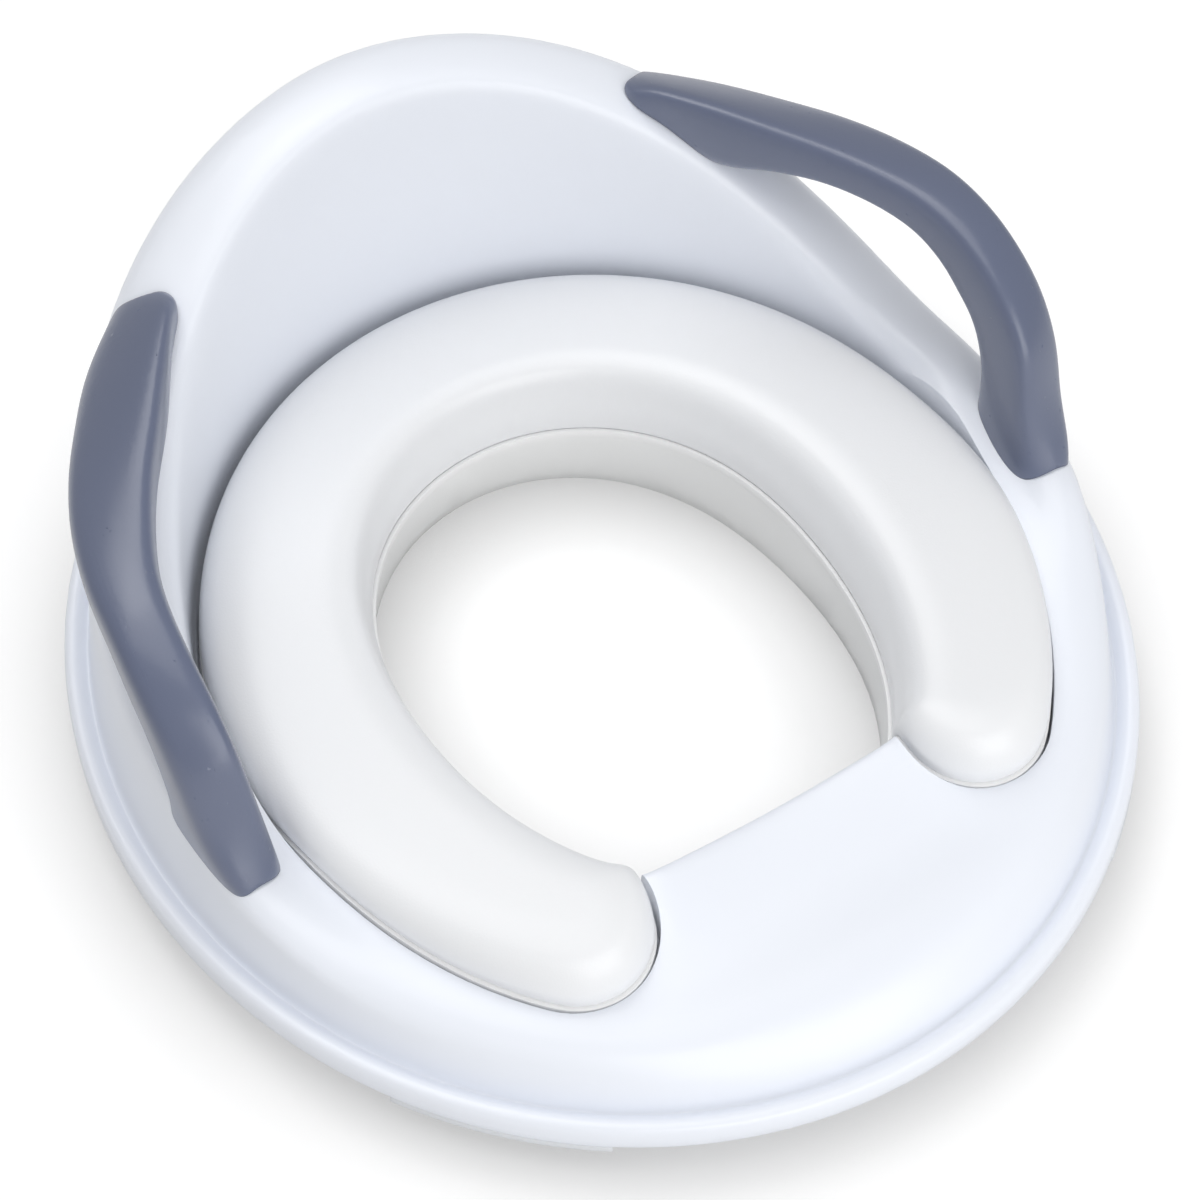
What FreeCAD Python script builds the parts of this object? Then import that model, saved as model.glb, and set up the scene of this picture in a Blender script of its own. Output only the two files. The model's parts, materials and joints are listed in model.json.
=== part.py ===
import FreeCAD, Part
import math
import os

from FreeCAD import Vector

# Potty training seat: a one-piece shell with backrest and splash guard, a padded horseshoe
# cushion on its tray, two arm handles screwed on from below and four anti-slip strips.
# Millimetres, Z up, the backrest towards +Y. The origin is at the middle of the seat, on the
# surface that it stands on.

# Rim, bead and collar
rim_half_width = 168.6
rim_half_length = 182.0
collar_drop = 16.0
bead_width = 7.0
bead_height = 8.6
valley_width = 1.5
valley_depth = 2.6
wall = 2.6
collar_wall = 2.8

# Pocket for the cushion: how far it lies inside the rim, and how egg-shaped it is
deck_front_width = 24.8
deck_side_width = 38.0
deck_rear_width = 53.2
pocket_egg = 0.2
pocket_floor = 30.0
pocket_end_radius = 26.0
panel_gap = 1.0

# Cushion's hole, inside the pocket by the cushion's width
cushion_front_width = 44.0
cushion_side_width = 58.4
cushion_rear_width = 54.4
cushion_hole_egg = 0.6

# Collar's lower edge, outside the cushion's hole by its draft
collar_front_draft = -3.7
collar_side_draft = 2.1
collar_rear_draft = 7.1
collar_egg = -0.8
hole_edge_inset = 1.5

# Deck: where its skin turns into the flank in front, and where it climbs towards the arms
flank_front_width = 40.0
deck_line_inset = 42.0
climb_start = -130.0
climb_end = -35.0

# Heights above the rim's underside
deck_front_rise = 25.0
deck_side_rise = 34.0
arm_rise = 45.0
outer_arm_angles = (57.0, 81.0)
inner_arm_angles = (76.0, 88.0)
backrest_rise = 132.0
guard_middle_rise = 30.0
guard_corner_rise = 33.0

# Splash guard: narrower than the cushion's hole, and its straight edge behind the hole's front
guard_side_inset = 26.7
guard_reach = 16.2
guard_bow = 2.3

# Shoulders of the deck and of the backrest, inwards from the rim
foot_shoulder = 11.5
side_shoulder = 17.5
rear_side_shoulder = 15.0
rear_shoulder = 21.0

# Cushion and its tray
tray_clearance = 0.8
cushion_end_gap = 1.8
tray_wall = 1.3
tray_floor = 1.5
tray_lip = 3.0
tray_rise = 0.8
tray_rear_height = 9.0
tray_fall_start = -45.0
tray_fall_end = 10.0
seat_gap = 0.3
cushion_top = 61.0
cushion_end_radius = 24.0
cushion_corner_radius = 8.0
cushion_lean = 3.4
cushion_overlap = 1.4
peg_radius = 3.0
peg_gap = 0.3
peg_length = 7.0
peg_angles = (48.0, 100.0, 152.0)

# Handles: how far the grip and its rear end lie inside the rim, and the length they are drawn for
grip_inset = 13.4
grip_foot = -47.5
grip_rear_inset = 52.0
grip_drawn_length = 177.5
grip_corner = 0.34
handle_gap = 0.3

# Screws of the handles, placed in from the grip's outer side and back from its foot
foot_screw_inset = 12.2
foot_screw_place = 21.5
foot_seat = 43.0
back_screw_inset = 56.2
back_screw_place = 150.5
back_seat = 97.0
boss_radius = 6.0
screw_head_radius = 3.5
screw_head_height = 2.2
screw_radius = 1.75
screw_length = 18.0
screw_gap = 0.35
thread_gap = 0.05

# Anti-slip strips under the rim, angles from the front
strip_angles = ((30.7, 52.6), (127.4, 149.3))
strip_width = 8.5
strip_thickness = 2.8
strip_proud = 0.3
strip_rib = 3.0
strip_rib_inset = 2.8
groove_gap = 0.2
groove_depth = 4.5

# Number of control points around each closed surface, and how far cuts run past a face
columns = 72
cut_margin = 1.0


def ease(value, start, end):
    t = (value - start) / (end - start)
    t = min(max(t, 0.0), 1.0)
    return t * t * (3.0 - 2.0 * t)


def mix(a, b, t):
    return a + (b - a) * t


# Plan outlines
def egg_point(phi, egg, offset=0.0):
    # Point and outward normal of an egg about (0, centre); phi runs from the front.
    centre, radius, stretch, tail = egg
    r = radius + stretch * math.cos(2 * phi) + tail * math.cos(3 * phi)
    slope = -2 * stretch * math.sin(2 * phi) - 3 * tail * math.sin(3 * phi)
    x = r * math.cos(phi) + slope * math.sin(phi)
    y = r * math.sin(phi) - slope * math.cos(phi)
    size = math.hypot(x, y)
    normal = (y / size, -x / size)
    return (r * math.sin(phi) + offset * normal[0], centre - r * math.cos(phi) + offset * normal[1], normal)


def egg_radius(theta, egg):
    # Distance from the origin to the egg in a direction measured from the front.
    centre, radius, stretch, tail = egg
    r = radius
    for _ in range(12):
        x = r * math.sin(theta)
        y = -r * math.cos(theta) - centre
        phi = math.atan2(x, -y)
        r += radius + stretch * math.cos(2 * phi) + tail * math.cos(3 * phi) - math.hypot(x, y)
    return r


def egg_angle_at(x, egg, offset):
    # Angle at which the front part of an offset egg reaches a given x.
    low, high = 0.0, math.radians(80.0)
    for _ in range(40):
        middle = (low + high) / 2
        if egg_point(middle, egg, offset)[0] < x:
            low = middle
        else:
            high = middle
    return low


def settled(value):
    # A size worked out from others, kept to a millionth of a millimetre.
    return round(value, 6)


def egg_shape(front, rear, side, tail):
    # Egg through points at three distances from the origin: centre, mean radius, stretch and tail.
    half_length = (front + rear) / 2
    centre = (rear - front) / 2 + tail
    return (settled(centre), settled((half_length + side) / 2), settled((half_length - side) / 2), tail)


pocket_front = rim_half_length - deck_front_width
pocket_rear = rim_half_length - deck_rear_width
pocket_side = rim_half_width - deck_side_width
cushion_hole_front = pocket_front - cushion_front_width
cushion_hole_rear = pocket_rear - cushion_rear_width
cushion_hole_side = pocket_side - cushion_side_width
pocket_shape = egg_shape(pocket_front, pocket_rear, pocket_side, pocket_egg)
cushion_hole_shape = egg_shape(cushion_hole_front, cushion_hole_rear, cushion_hole_side, cushion_hole_egg)
hole_shape = egg_shape(cushion_hole_front + collar_front_draft, cushion_hole_rear + collar_rear_draft,
                       cushion_hole_side + collar_side_draft, collar_egg)
guard_half_width = settled(cushion_hole_side - guard_side_inset)
guard_edge = settled(cushion_hole_front - guard_reach)
grip_side = settled(rim_half_width - grip_inset)
grip_length = settled(rim_half_length - grip_rear_inset - grip_foot)


def rim_radius(theta):
    across = rim_half_length * math.sin(theta)
    along = rim_half_width * math.cos(theta)
    return rim_half_width * rim_half_length / math.hypot(across, along)


def hole_bottom(theta):
    return egg_radius(theta, hole_shape)


def hole_top(theta):
    # The hole's upper edge lies just behind the cushion's; in front it is the guard's straight edge.
    egg = egg_radius(theta, cushion_hole_shape) + hole_edge_inset
    straight = guard_edge / max(math.cos(theta), 0.3)
    return mix(straight, egg, ease(abs(math.degrees(theta)), 26, 36))


# Heights of the shell
def deck_height(y):
    return collar_drop + mix(deck_front_rise, deck_side_rise, ease(y, climb_start, climb_end))


def back_height(theta):
    # Height of the arms' and the backrest's crest above the deck.
    angle = abs(math.degrees(theta))
    share = min(max((angle - 101.0) / 79.0, 0.0), 1.0) ** 0.75
    return (backrest_rise - arm_rise) * ease(share, 0, 1)


def crest_height(theta, first, last):
    # The arm rises out of the deck between two angles.
    angle = abs(math.degrees(theta))
    base = deck_height((deck_line_inset - rim_half_length) * math.cos(theta))
    arm = (arm_rise - deck_side_rise) * ease(angle, first, last)
    return base + arm + back_height(theta)


def pocket_edge(theta):
    # Distance to the deck's inner edge and, behind it, to the backrest's panel.
    pocket = egg_radius(theta, pocket_shape)
    front = rim_half_length - flank_front_width
    return mix(front, pocket, ease(abs(math.degrees(theta)), 5, 38)) + panel_gap


def shell_section(theta):
    # Control points (radius, height) of the shell's upper surface from the rim inwards.
    angle = abs(math.degrees(theta))
    rim = rim_radius(theta)
    low = collar_drop
    top = crest_height(theta, *outer_arm_angles)
    deck = crest_height(theta, *inner_arm_angles)
    back = ease(angle, 78, 100)
    rear = ease(angle, 100, 130)
    side = ease(angle, 20, 80)
    inner = hole_top(theta)
    edge = pocket_edge(theta)
    foot = rim - bead_width - valley_width
    valley = low + bead_height - valley_depth
    lift = top - valley
    shoulder = mix(side_shoulder, mix(rear_side_shoulder, rear_shoulder, ease(angle, 132, 172)), rear)
    shoulder = rim - mix(foot_shoulder, shoulder, ease(angle, 72, 90))
    guard = mix(guard_middle_rise, guard_corner_rise, (math.sin(theta) * guard_bow) ** 2) + low
    points = [
        (rim, low),
        (rim, low + 3.0),
        (rim, low + bead_height - 1.5),
        (rim - 1.0, low + bead_height + 1.0),
        (rim - bead_width * 0.7, low + bead_height + 0.8),
        (rim - bead_width, valley - 0.4),
        (foot, valley),
    ]
    front_flank = [
        (mix(foot, edge, 0.06), valley + lift * 0.22),
        (mix(foot, edge, 0.18), valley + lift * 0.50),
        (mix(foot, edge, 0.36), valley + lift * 0.76),
        (mix(foot, edge, 0.58), valley + lift * 0.92),
        (mix(foot, edge, 0.78), valley + lift * 0.99),
        (mix(foot, edge, 0.93), valley + lift * 1.01),
    ]
    side_flank = [
        (mix(foot, shoulder, 0.30), valley + lift * 0.28),
        (mix(foot, shoulder, 0.62), valley + lift * 0.66),
        (shoulder + 2.0, top - mix(3.0, 10.0, rear)),
        (shoulder - 5.0, top + mix(0.5, 0.0, rear)),
        (mix(edge, shoulder, 0.45), mix(deck, top, 0.6) + 1.0),
        (edge + 4.0, deck + 0.5),
    ]
    front_rows = [
        (mix(edge, inner, 0.10), deck),
        (mix(edge, inner, 0.35), deck),
        (mix(edge, inner, 0.65), mix(deck, guard, 0.6)),
        (mix(edge, inner, 0.85), guard),
        (inner + 3.0, guard + 0.5),
        (inner + 0.2, guard),
        (inner, guard - 2.0),
    ]
    floor = pocket_floor + 2.0
    rear_rows = [
        (edge + 0.2, deck - 4.0),
        (edge, mix(deck, floor, 0.35)),
        (edge, mix(deck, floor, 0.75)),
        (edge - 0.2, floor + 3.0),
        (edge - 4.0, floor),
        (mix(edge, inner, 0.5), floor),
        (inner, floor - 1.0),
    ]
    for ahead, behind in zip(front_flank, side_flank):
        points.append((mix(ahead[0], behind[0], side), mix(ahead[1], behind[1], side)))
    for ahead, behind in zip(front_rows, rear_rows):
        points.append((mix(ahead[0], behind[0], back), mix(ahead[1], behind[1], back)))
    return points


def offset_section(points, distance):
    # Move a section's control points along their own outward normals.
    moved = []
    for i, (r, z) in enumerate(points):
        before = points[max(i - 1, 0)]
        after = points[min(i + 1, len(points) - 1)]
        along = (after[0] - before[0], after[1] - before[1])
        size = math.hypot(along[0], along[1])
        moved.append((r + distance * along[1] / size, z - distance * along[0] / size))
    return moved


# Surfaces from rows of control points
def angles():
    return [2 * math.pi * i / columns - math.pi for i in range(columns)]


def polar_point(theta, radius, height):
    # A closed cubic through control points on a circle falls inside it by this share.
    swell = 3.0 / (2.0 + math.cos(2 * math.pi / columns))
    return Vector(radius * swell * math.sin(theta), -radius * swell * math.cos(theta), height)


def rows_from_sections(sections):
    rows = []
    for index in range(len(sections[0])):
        rows.append([polar_point(t, *s[index]) for t, s in zip(angles(), sections)])
    return rows


def ring_surface(rows):
    # A surface closed in one direction; its rows are control polygons.
    count = len(rows[0])
    degree = min(3, len(rows) - 1)
    spans = len(rows) - degree
    row_mults = [degree + 1] + [1] * (spans - 1) + [degree + 1]
    surface = Part.BSplineSurface()
    surface.buildFromPolesMultsKnots(
        rows, row_mults, [1] * (count + 1), list(range(spans + 1)),
        list(range(count + 1)), False, True, degree, 3)
    return surface.toShape()


def ring_wire(row):
    count = len(row)
    curve = Part.BSplineCurve()
    curve.buildFromPolesMultsKnots(row, [1] * (count + 1), list(range(count + 1)), True, 3)
    return Part.Wire(curve.toShape())


def flat_face(*rows):
    return Part.makeFace([ring_wire(row) for row in rows], "Part::FaceMakerBullseye")


def solid_from_faces(faces):
    shell = Part.makeShell(faces)
    shell.sewShape()
    solid = Part.makeSolid(shell)
    if solid.Volume < 0:
        solid.reverse()
    return solid


def stacked_solid(rows):
    # Ruled walls between rows of the same length, closed by flat faces.
    faces = [ring_surface([a, b]) for a, b in zip(rows, rows[1:])]
    return solid_from_faces(faces + [flat_face(rows[0]), flat_face(rows[-1])])


def largest_solid(shape):
    return max(shape.Solids, key=lambda solid: solid.Volume)


# Shell
def seat_body(raised=0.0):
    # The whole outer form without its hollow, optionally with the skin moved outwards.
    sections = [offset_section(shell_section(t), raised) for t in angles()]
    for section in sections:
        section[0] = (section[0][0], collar_drop)
    rows = rows_from_sections(sections)
    inner_low = [polar_point(t, hole_bottom(t), 0.0) for t in angles()]
    return solid_from_faces([
        ring_surface(rows),
        ring_surface([rows[-1], inner_low]),
        flat_face(inner_low, rim_low_row(raised)),
        ring_surface([rim_low_row(raised), rows[0]]),
    ])


def rim_low_row(raised):
    return [polar_point(t, rim_radius(t) + raised, 0.0) for t in angles()]


def underside_section(theta):
    # The underside of the skin: beside the bead, below the deck, down around the pocket's tub
    # and in to the collar. In front it stays below the splash guard.
    angle = abs(math.degrees(theta))
    skin = offset_section(shell_section(theta), -wall)
    outer = rim_radius(theta) - bead_width - valley_width - wall * 1.1
    inner = hole_top(theta) + collar_wall
    edge = pocket_edge(theta) + wall
    top = skin[12][1]
    floor = pocket_floor - wall
    front = [(max(r, inner), z) for r, z in skin[13:]]
    tub = [
        (edge, top - 1.5),
        (edge, mix(top, floor, 0.35)),
        (edge, mix(top, floor, 0.75)),
        (edge - 0.5, floor + 1.5),
        (edge - 4.0, floor),
        (mix(edge, inner, 0.5), floor),
        (inner, floor),
    ]
    share = ease(angle, 12, 24)
    rows = [(outer, collar_drop), (outer, collar_drop + wall)] + skin[7:13]
    for guard, low in zip(front, tub):
        rows.append((mix(guard[0], low[0], share), mix(guard[1], low[1], share)))
    return rows


def hollow_body():
    # The outer form with its even-walled underside, before the pocket is cut.
    rows = rows_from_sections([shell_section(t) for t in angles()])
    under = rows_from_sections([underside_section(t) for t in angles()])
    inner_low = [polar_point(t, hole_bottom(t), 0.0) for t in angles()]
    outer_low = [polar_point(t, hole_bottom(t) + collar_wall, 0.0) for t in angles()]
    return solid_from_faces([
        ring_surface(rows),
        ring_surface([rows[-1], inner_low]),
        flat_face(outer_low, inner_low),
        ring_surface([outer_low, under[-1]]),
        ring_surface(under),
        flat_face(rows[0], under[0]),
    ])


def pocket_prism(grow, bottom, top):
    # The pocket's plan, with the hole, as a straight block; grow moves its walls outwards.
    radius = pocket_end_radius
    start = egg_angle_at(guard_half_width + radius, pocket_shape, -radius)
    centre = egg_point(start, pocket_shape, -radius)
    normal = egg_point(start, pocket_shape)[2]
    reach = radius + grow
    half_turn = (math.atan2(normal[1], normal[0]) - math.pi) / 2
    bend = (centre[0] + reach * math.cos(half_turn), centre[1] + reach * math.sin(half_turn))
    side = guard_half_width - grow
    steps = 48
    points = []
    for i in range(steps + 1):
        x, y, _ = egg_point(mix(start, 2 * math.pi - start, i / steps), pocket_shape, grow)
        points.append(Vector(x, y, bottom))
    curve = Part.BSplineCurve()
    curve.interpolate(points)
    edges = [curve.toShape()]
    corners = [(-side, centre[1]), (-side, -guard_edge / 2), (side, -guard_edge / 2), (side, centre[1])]
    path = [Vector(x, y, bottom) for x, y in corners]
    edges.append(Part.Arc(points[-1], Vector(-bend[0], bend[1], bottom), path[0]).toShape())
    edges += [Part.makeLine(a, b) for a, b in zip(path, path[1:])]
    edges.append(Part.Arc(path[-1], Vector(bend[0], bend[1], bottom), points[0]).toShape())
    return Part.Face(Part.Wire(edges)).extrude(Vector(0, 0, top - bottom))


def mirrored(shape):
    return shape.mirror(Vector(0, 0, 0), Vector(1, 0, 0))


def along_grip(place):
    # A place along the drawn handle, from its foot, on the handle that reaches the backrest.
    return settled(grip_foot + place * grip_length / grip_drawn_length)


def screw_places():
    places = []
    for inset, place, seat in ((foot_screw_inset, foot_screw_place, foot_seat),
                               (back_screw_inset, back_screw_place, back_seat)):
        x = settled(grip_side - inset)
        places += [(x, along_grip(place), seat), (-x, along_grip(place), seat)]
    return places


def peg_places():
    places = []
    for angle in peg_angles:
        theta = math.radians(angle)
        radius = (egg_radius(theta, pocket_shape) + egg_radius(theta, hole_shape)) / 2
        for side in (1, -1):
            places.append((side * radius * math.sin(theta), -radius * math.cos(theta)))
    return places


def rim_sector(start, end, outer_inset, inner_inset, bottom, height):
    # A block that follows the rim between two angles, given in degrees from the front.
    steps = 8
    lines = []
    for inset in (outer_inset, inner_inset):
        points = []
        for i in range(steps + 1):
            theta = math.radians(mix(start, end, i / steps))
            r = rim_radius(theta) - inset
            points.append(Vector(r * math.sin(theta), -r * math.cos(theta), bottom))
        lines.append(points)
    edges = []
    for points in lines:
        curve = Part.BSplineCurve()
        curve.interpolate(points)
        edges.append(curve.toShape())
    edges.append(Part.makeLine(lines[0][0], lines[1][0]))
    edges.append(Part.makeLine(lines[0][-1], lines[1][-1]))
    return Part.Face(Part.Wire(Part.__sortEdges__(edges))).extrude(Vector(0, 0, height))


def make_shell():
    shape = hollow_body()
    core = seat_body(-wall / 2)
    for x, y, seat in screw_places():
        boss = Part.makeCylinder(boss_radius, backrest_rise, Vector(x, y, seat)).common(core)
        shape = shape.fuse(boss)
        bore = Part.makeCylinder(screw_radius + screw_gap, screw_length * 2, Vector(x, y, seat - cut_margin))
        shape = shape.cut(bore)
    shape = shape.cut(pocket_prism(0.0, pocket_floor, collar_drop + 2 * backrest_rise))
    for x, y in peg_places():
        hole = Part.makeCylinder(peg_radius + peg_gap, 3 * wall, Vector(x, y, pocket_floor - 2 * wall))
        shape = shape.cut(hole)
    for start, end in strip_angles:
        groove = rim_sector(start - 0.2, end + 0.2, strip_rib_inset - groove_gap,
                            strip_rib_inset + strip_rib + groove_gap,
                            collar_drop - cut_margin, groove_depth + cut_margin)
        shape = shape.cut(groove).cut(mirrored(groove))
    return largest_solid(shape)


# Cushion and tray
def horseshoe(inset):
    # Plan of the cushion at a distance inside the pocket's wall: (x, y, outer share) all around.
    inwards = inset - tray_clearance
    end_x = guard_half_width + cushion_end_gap + inwards
    radius = max(cushion_end_radius - inwards, 4.0)
    corner = max(cushion_corner_radius - inwards, 2.5)
    start = egg_angle_at(end_x + radius, pocket_shape, -inset - radius)
    tip = egg_point(start, pocket_shape, -inset - radius)
    turn = egg_angle_at(end_x + corner, cushion_hole_shape, inwards + corner)
    bend = egg_point(turn, cushion_hole_shape, inwards + corner)
    half = []
    for i in range(34):
        x, y, _ = egg_point(mix(math.pi, start, (i + 0.5) / 34), pocket_shape, -inset)
        half.append((x, y, 1.0))
    tip_angle = math.atan2(tip[2][1], tip[2][0])
    for i in range(8):
        angle = mix(tip_angle, -math.pi, (i + 0.5) / 8)
        half.append((tip[0] + radius * math.cos(angle), tip[1] + radius * math.sin(angle), 1.0))
    for i in range(3):
        half.append((end_x, mix(tip[1], bend[1], (i + 0.5) / 3), 1.0))
    bend_angle = math.atan2(-bend[2][1], -bend[2][0])
    for i in range(5):
        share = (i + 0.5) / 5
        angle = mix(math.pi, bend_angle, share)
        half.append((bend[0] + corner * math.cos(angle), bend[1] + corner * math.sin(angle), 1.0 - share))
    for i in range(24):
        x, y, _ = egg_point(mix(turn, math.pi, (i + 0.5) / 24), cushion_hole_shape, inwards)
        half.append((x, y, 0.0))
    return half + [(-x, y, share) for x, y, share in reversed(half)]


def tray_height(y, share):
    # The tray's edge follows the deck, sinks beside the backrest and is a low lip at the hole.
    beside_back = ease(y, tray_fall_start, tray_fall_end)
    outer = mix(deck_height(y) + tray_rise, pocket_floor + tray_rear_height, beside_back)
    return mix(pocket_floor + tray_lip, outer, share)


def make_tray():
    outer = horseshoe(tray_clearance)
    inner = horseshoe(tray_clearance + tray_wall)
    floor = pocket_floor + tray_floor
    rows = [
        [Vector(x, y, pocket_floor) for x, y, _ in outer],
        [Vector(x, y, tray_height(y, share)) for x, y, share in outer],
        [Vector(x, y, tray_height(y, share)) for x, y, share in inner],
        [Vector(x, y, floor) for x, y, _ in inner],
    ]
    tray = stacked_solid(rows)
    for x, y in peg_places():
        peg = Part.makeCylinder(peg_radius, peg_length + tray_floor / 2, Vector(x, y, pocket_floor - peg_length))
        tray = tray.fuse(peg)
    return largest_solid(tray.removeSplitter())


def cushion_profile(y, share):
    # (inset, height) of the cushion from its bottom edge over the rounded side to the flat crown.
    seat = pocket_floor + tray_floor
    edge = tray_height(y, share)
    inside = tray_clearance + tray_wall + seat_gap
    out = inside - cushion_overlap
    beside_back = ease(y, tray_fall_start, tray_fall_end)
    fall = min(0.62 * (cushion_top - edge), mix(12.0, mix(13.0, 19.0, beside_back), share))
    fall = max(fall, 0.85 * (cushion_top - edge) * beside_back * share)
    reach = mix(13.1, mix(12.0, 14.5, beside_back), share)
    lean = cushion_lean * (1.0 - share)
    crown = out + lean
    return [
        (inside, seat),
        (inside, mix(seat, edge, 0.6)),
        (inside, edge - 0.3),
        (inside - 0.8, edge + 1.0),
        (out + 0.25 * lean, mix(edge, cushion_top - fall, 0.6) + 0.8),
        (out + 0.7 * lean, cushion_top - fall),
        (crown + 0.06 * reach, cushion_top - 0.55 * fall),
        (crown + 0.28 * reach, cushion_top - 0.2 * fall),
        (crown + 0.65 * reach, cushion_top - 0.04 * fall),
        (crown + 1.1 * reach, cushion_top),
        (crown + 1.4 * reach, cushion_top),
    ]


def make_cushion():
    base = horseshoe(tray_clearance)
    profiles = [cushion_profile(y, share) for _, y, share in base]
    rows = []
    for level in range(len(profiles[0])):
        outlines = {}
        row = []
        for column, profile in enumerate(profiles):
            inset, height = profile[level]
            if inset not in outlines:
                outlines[inset] = horseshoe(inset)
            x, y, _ = outlines[inset][column]
            row.append(Vector(x, y, height))
        rows.append(row)
    return solid_from_faces([ring_surface(rows), flat_face(rows[0]), flat_face(rows[-1])])


# Handles
def handle_corners():
    # Right-hand handle from the rear end to the foot: inner top, outer top, inner low, outer low,
    # each as inset from the grip's outer side, place from the foot and height.
    stations = [
        ((72.2, 155.5, 127.5), (64.7, 177.5, 115.0), (69.7, 155.5, 108.5), (62.2, 177.5, 96.0)),
        ((67.7, 149.0, 130.0), (57.2, 171.5, 116.5), (63.7, 149.0, 106.0), (55.7, 171.0, 94.0)),
        ((57.6, 133.7, 131.0), (40.2, 155.3, 116.0), (54.2, 132.5, 103.0), (38.7, 154.0, 93.0)),
        ((46.2, 117.0, 130.0), (26.9, 136.0, 117.5), (46.6, 118.5, 109.0), (28.2, 136.5, 99.0)),
        ((36.4, 102.8, 128.6), (17.2, 119.0, 119.5), (37.0, 103.1, 112.4), (18.0, 119.3, 103.8)),
        ((28.2, 87.3, 127.4), (9.2, 100.0, 121.5), (28.4, 87.5, 112.1), (9.6, 100.3, 106.3)),
        ((22.0, 72.1, 125.7), (3.8, 79.5, 123.0), (22.4, 73.0, 109.6), (4.4, 80.3, 107.0)),
        ((19.0, 56.7, 123.0), (1.6, 61.0, 121.6), (19.8, 61.0, 104.8), (2.4, 65.0, 103.2)),
        ((18.0, 42.6, 118.6), (0.4, 45.5, 115.8), (19.0, 51.5, 98.5), (1.2, 53.5, 96.5)),
        ((17.8, 29.9, 111.8), (0.0, 32.0, 106.6), (18.6, 44.5, 93.0), (0.8, 46.0, 90.0)),
        ((18.0, 19.3, 101.6), (0.0, 22.0, 92.5), (18.5, 39.5, 85.0), (0.7, 41.5, 80.0)),
        ((19.0, 13.5, 84.0), (0.4, 15.0, 75.0), (18.5, 36.3, 75.0), (0.8, 39.5, 69.0)),
        ((20.0, 8.7, 64.0), (1.8, 6.0, 62.0), (18.4, 35.3, 61.0), (1.0, 42.5, 57.0)),
        ((20.6, 7.3, 54.0), (3.4, 1.5, 55.0), (18.4, 35.5, 47.0), (1.2, 45.5, 46.0)),
        ((20.6, 6.9, 40.0), (3.4, 0.0, 40.0), (18.4, 35.5, 40.0), (1.2, 46.5, 40.0)),
    ]
    corners = []
    for station in stations:
        corners.append([(settled(grip_side - inset), along_grip(place), z) for inset, place, z in station])
    return corners


def smooth_path(points, steps):
    # Catmull-Rom points through a line of points.
    result = []
    last = len(points) - 1
    for i in range(last):
        a, b, c, d = (points[max(i - 1, 0)], points[i], points[i + 1], points[min(i + 2, last)])
        for k in range(steps):
            t = k / steps
            place = []
            for p, q, r, s in zip(a, b, c, d):
                place.append(0.5 * (2 * q + (r - p) * t + (2 * p - 5 * q + 4 * r - s) * t * t
                                    + (3 * q - p - 3 * r + s) * t ** 3))
            result.append(tuple(place))
    result.append(points[last])
    return result


def rounded_section(corners, share):
    # Three control points at each corner of a four-sided section.
    ring = []
    for i, corner in enumerate(corners):
        before = corners[i - 1]
        after = corners[(i + 1) % len(corners)]
        ring.append(corner + (before - corner) * share)
        ring.append(corner)
        ring.append(corner + (after - corner) * share)
    return ring


def handle_rows():
    stations = handle_corners()
    lines = [smooth_path([s[k] for s in stations], 3) for k in range(4)]
    rows = []
    for inner_top, outer_top, inner_low, outer_low in zip(*lines):
        corners = [Vector(*p) for p in (inner_top, outer_top, outer_low, inner_low)]
        rows.append(rounded_section(corners, grip_corner))
    middle = rows[0][0] * 0.0
    for point in rows[0]:
        middle += point / len(rows[0])
    backwards = (rows[0][0] - rows[1][0]).normalize()
    ends = []
    for shrink, reach in ((0.30, 5.4), (0.74, 5.2), (0.95, 2.8)):
        ends.append([middle + (p - middle) * shrink + backwards * reach for p in rows[0]])
    return ends + rows


def make_handle(raised_body):
    rows = handle_rows()
    bar = solid_from_faces([ring_surface(rows), flat_face(rows[0]), flat_face(rows[-1])])
    bar = largest_solid(bar.cut(raised_body))
    for x, y, seat in screw_places():
        bore = Part.makeCylinder(screw_radius + thread_gap, screw_length + 1.0, Vector(x, y, seat))
        bar = bar.cut(bore)
    return largest_solid(bar)


def make_screws():
    screws = []
    for x, y, seat in screw_places():
        head = Part.makeCylinder(screw_head_radius, screw_head_height, Vector(x, y, seat - screw_head_height))
        shank = Part.makeCylinder(screw_radius, screw_length, Vector(x, y, seat))
        screws.append(head.fuse(shank).removeSplitter().Solids[0])
    return Part.makeCompound(screws)


# Anti-slip strips
def make_strip(start, end):
    pad = rim_sector(start, end, -strip_proud, strip_width, collar_drop - strip_thickness, strip_thickness)
    rib = rim_sector(start, end, strip_rib_inset, strip_rib_inset + strip_rib,
                     collar_drop - strip_thickness / 2, strip_thickness / 2 + groove_depth - groove_gap)
    return largest_solid(pad.fuse(rib).removeSplitter())


def export_parts():
    os.makedirs("parts", exist_ok=True)
    right_handle = make_handle(seat_body(handle_gap))
    shapes = {
        "shell": make_shell(),
        "cushion": make_cushion(),
        "cushion_tray": make_tray(),
        "right_handle": right_handle,
        "left_handle": mirrored(right_handle),
        "handle_screws": make_screws(),
    }
    for name, (start, end) in zip(("front", "rear"), strip_angles):
        strip = make_strip(start, end)
        shapes[name + "_right_strip"] = strip
        shapes[name + "_left_strip"] = mirrored(strip)
    for name, shape in shapes.items():
        shape.exportStep("parts/" + name + ".step")


if __name__ == "__main__":
    export_parts()
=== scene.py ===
"""Visual model of a potty training seat: moulded shell, foam cushion, tray, handles and strips."""

from __future__ import annotations

import json
import logging
import math
from dataclasses import dataclass, field
from enum import Enum

import bmesh
import bpy
import numpy as np
from mathutils import Matrix, Vector
from mathutils.bvhtree import BVHTree

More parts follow.
